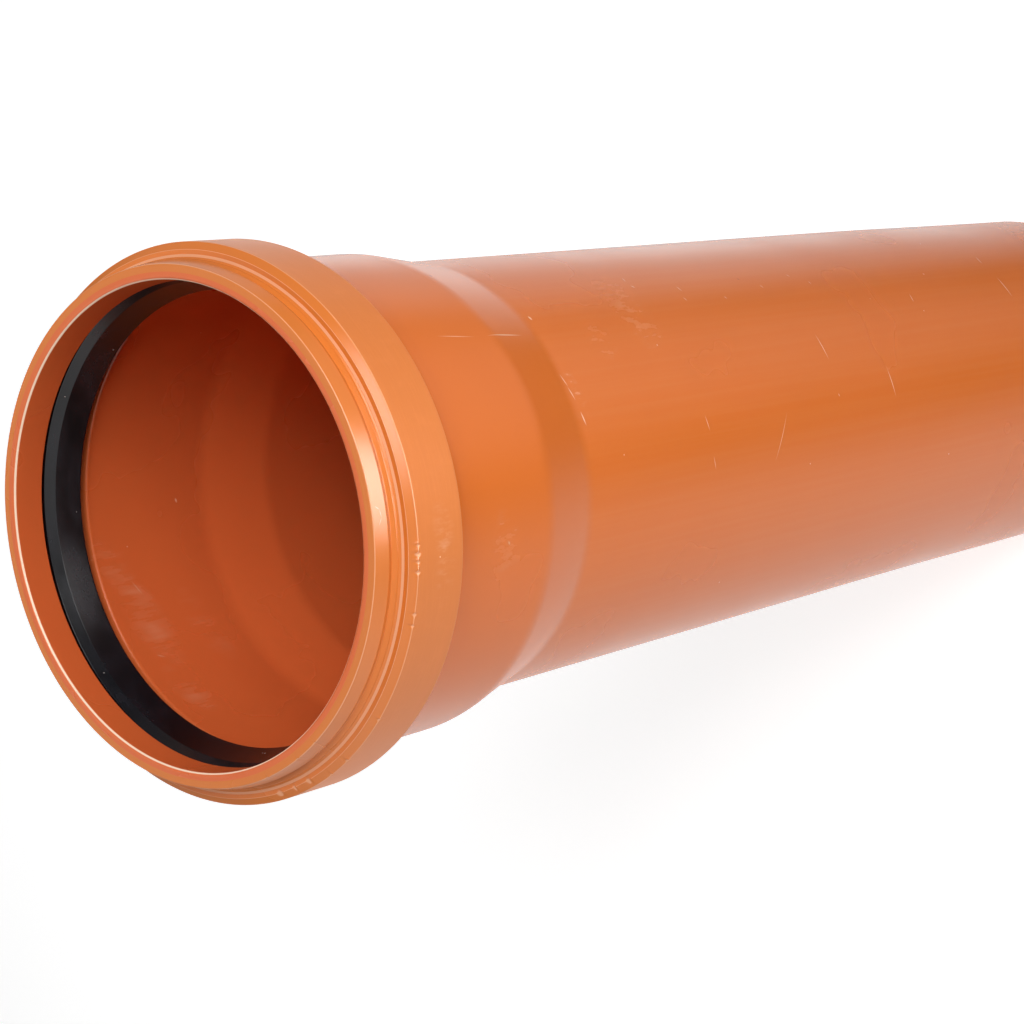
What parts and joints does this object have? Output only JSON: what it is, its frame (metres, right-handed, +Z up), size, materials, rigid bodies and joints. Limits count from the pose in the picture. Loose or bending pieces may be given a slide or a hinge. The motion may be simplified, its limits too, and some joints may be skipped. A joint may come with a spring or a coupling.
{
  "type": "plastic sewer pipe",
  "caption": "Orange plastic sewer pipe, a short length with a formed push-fit socket, a beaded seal chamber with a black rubber lip seal, and a chamfered spigot.",
  "frame": {"origin": "on the pipe's axis, in the plane of its spigot end, on which it stands", "axes": "+Z up along the pipe's axis, from the spigot end to the socket's mouth; +X and +Y are any two square directions across it"},
  "size_m": [0.1877, 0.1878, 0.593],
  "materials": {
    "pipe_plastic": "satin",
    "seal_rubber": "satin"
  },
  "bodies": {
    "root": {"pipe": "pipe_plastic", "seal_ring": "seal_rubber"}
  },
  "joints": []
}
